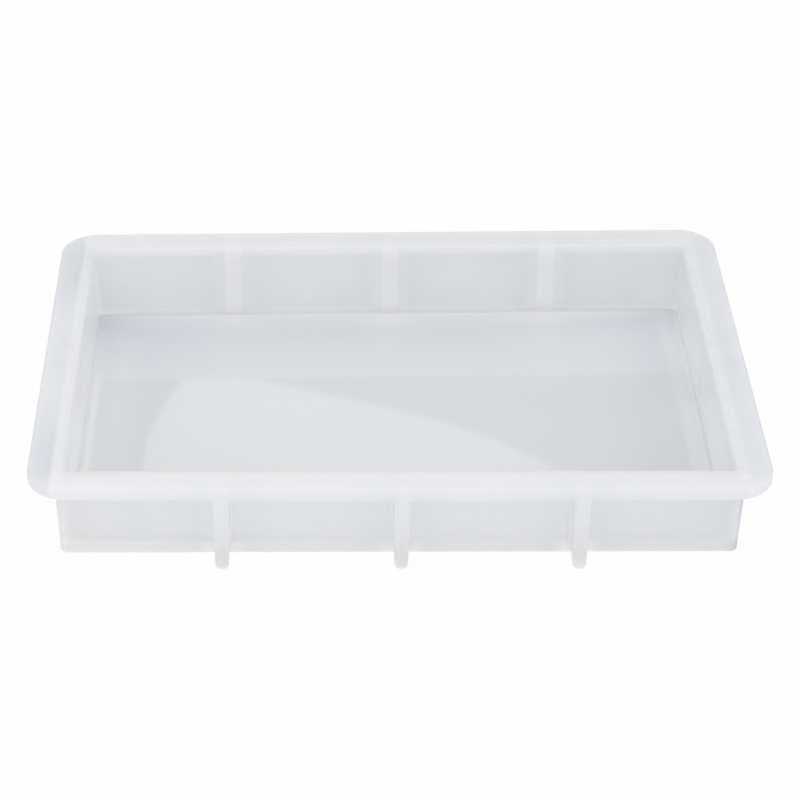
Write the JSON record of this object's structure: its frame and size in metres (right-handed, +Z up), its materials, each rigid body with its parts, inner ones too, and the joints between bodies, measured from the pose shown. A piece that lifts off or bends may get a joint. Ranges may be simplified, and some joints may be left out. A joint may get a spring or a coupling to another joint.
{
  "type": "wet palette",
  "caption": "Shallow rectangular silicone tray with a wide flat rim and outside ribs, holding a thin sponge and a lift-out palette sheet for keeping paint moist.",
  "frame": {"origin": "centre of the tray's base, on the plane that it stands on", "axes": "+X along the tray's long side, +Y towards its back long side, +Z up out of the well"},
  "size_m": [0.332, 0.232, 0.043],
  "materials": {
    "silicone": "translucent milky white moulded silicone, satin outside and glossy inside",
    "sponge": "fine open-cell cellulose sponge, matt",
    "sheet": "thin translucent film, wet gloss"
  },
  "bodies": {
    "tray": {"tray": "silicone"},
    "sponge": {"sponge": "sponge"},
    "palette_sheet": {"palette_sheet": "sheet"}
  },
  "joints": [
    {"name": "sponge_lift", "type": "slide", "parent": "tray", "child": "sponge", "axis": [0, 0, 1], "range_m": [0, 0.06]},
    {"name": "sheet_lift", "type": "slide", "parent": "sponge", "child": "palette_sheet", "axis": [0, 0, 1], "range_m": [0, 0.06]}
  ]
}
